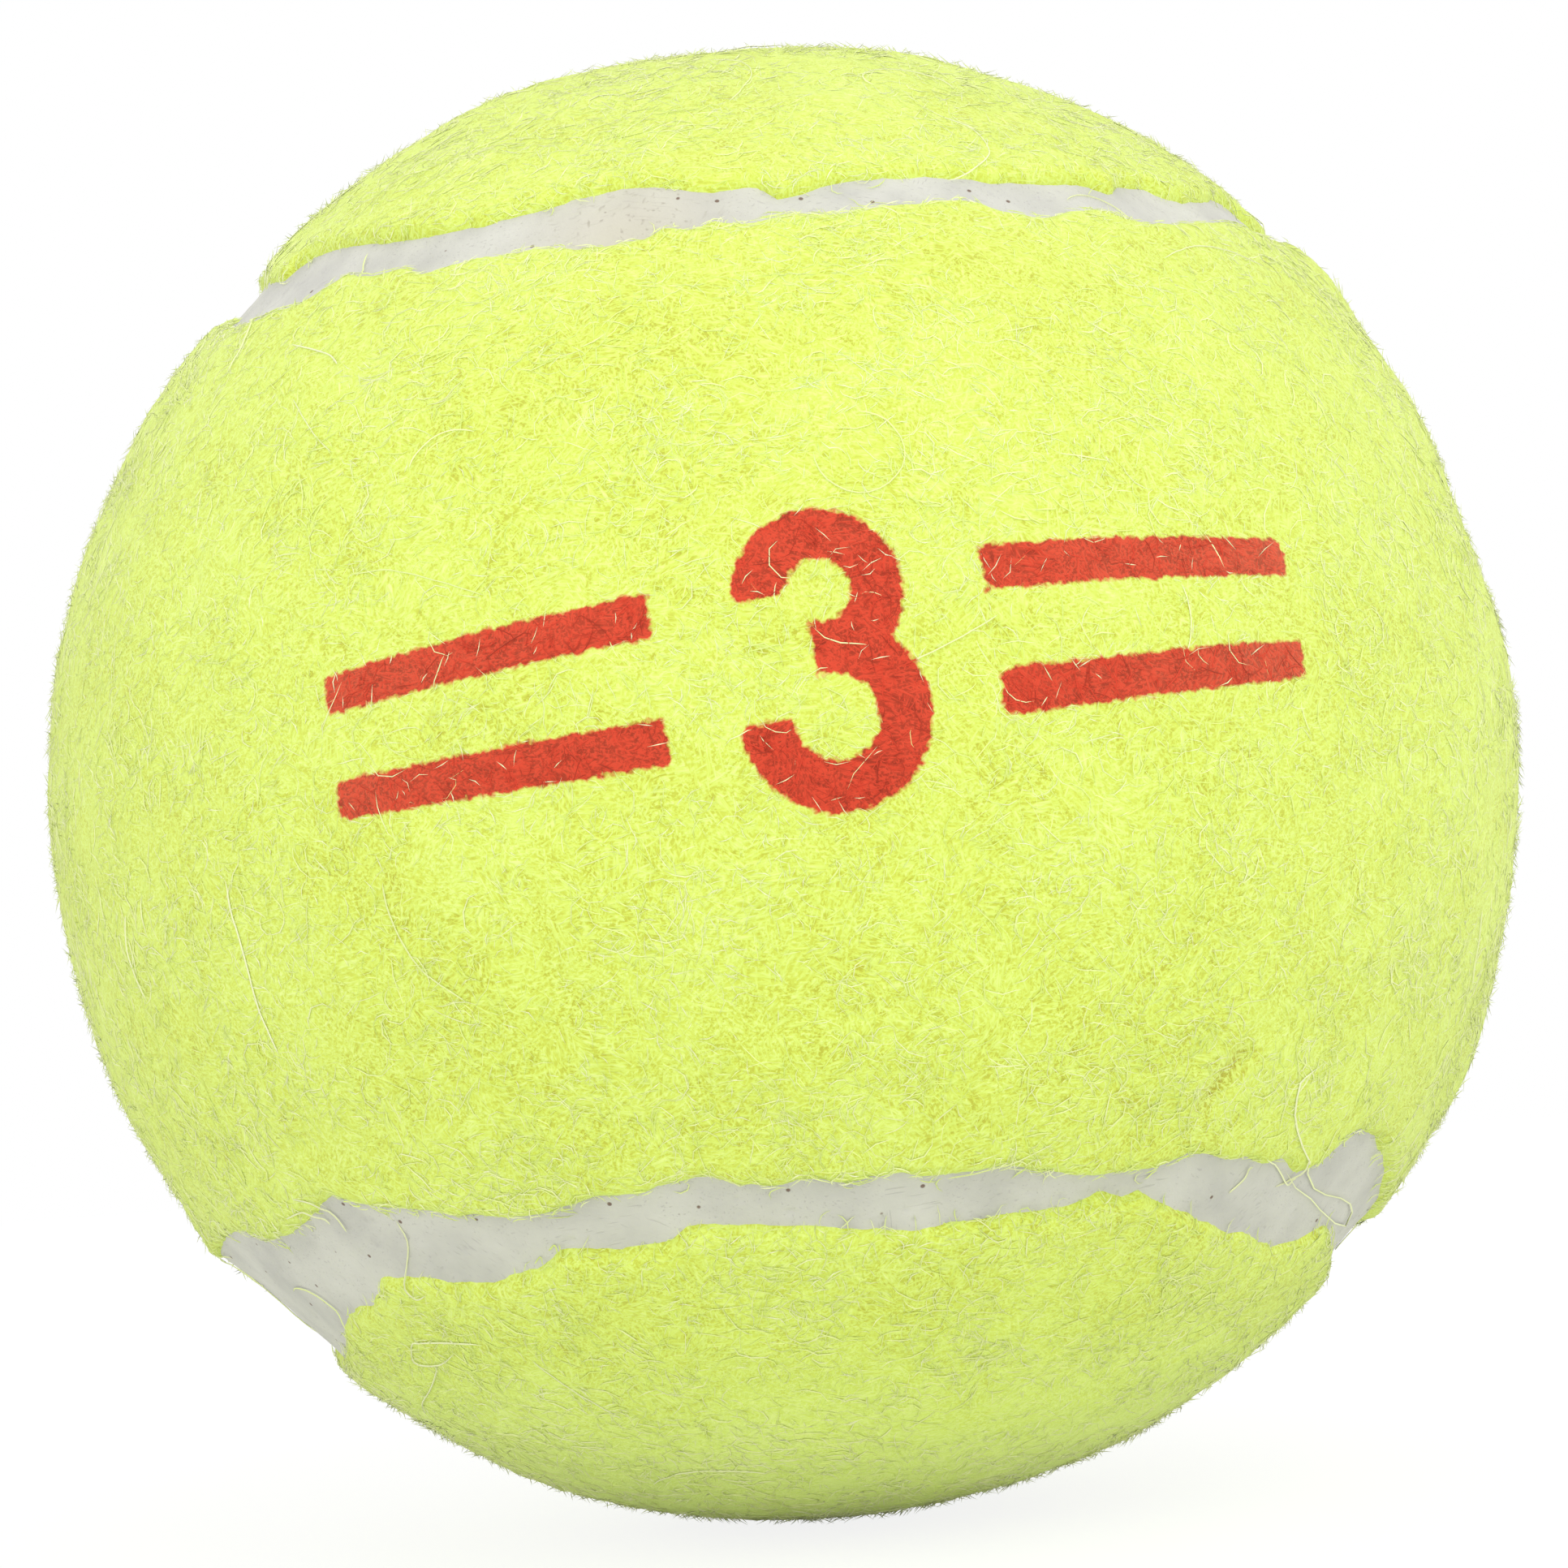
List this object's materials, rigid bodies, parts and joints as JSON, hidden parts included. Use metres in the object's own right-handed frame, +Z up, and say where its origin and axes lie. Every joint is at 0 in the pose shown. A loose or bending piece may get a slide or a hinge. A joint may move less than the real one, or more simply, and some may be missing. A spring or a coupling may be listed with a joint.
{
  "type": "tennis ball",
  "caption": "Hollow rubber ball covered by two dumbbell panels of yellow-green felt, joined by one closed pale rubber seam.",
  "frame": {"origin": "centre of the ball", "axes": "+Z up through the lobes of felt panel B, +X and -X through the lobes of felt panel A, -Y through the waist of panel A that faces the viewer"},
  "size_m": [0.067, 0.067, 0.067],
  "materials": {
    "core_rubber": "matte moulded rubber, ground on the outside",
    "joint_rubber": "matte cured rubber solution",
    "cover_cement": "thin dried rubber cement",
    "backing_cloth": "plain woven cotton scrim",
    "felt_nap": "soft needled felt with raised fibres",
    "seam_rubber": "matte moulded rubber"
  },
  "bodies": {
    "root": {"core_cup_upper": "core_rubber", "core_cup_lower": "core_rubber", "core_joint_ring": "joint_rubber", "cover_cement": "cover_cement", "backing_cloth_a": "backing_cloth", "backing_cloth_b": "backing_cloth", "felt_nap_a": "felt_nap", "felt_nap_b": "felt_nap", "seam_strip": "seam_rubber"}
  },
  "joints": []
}
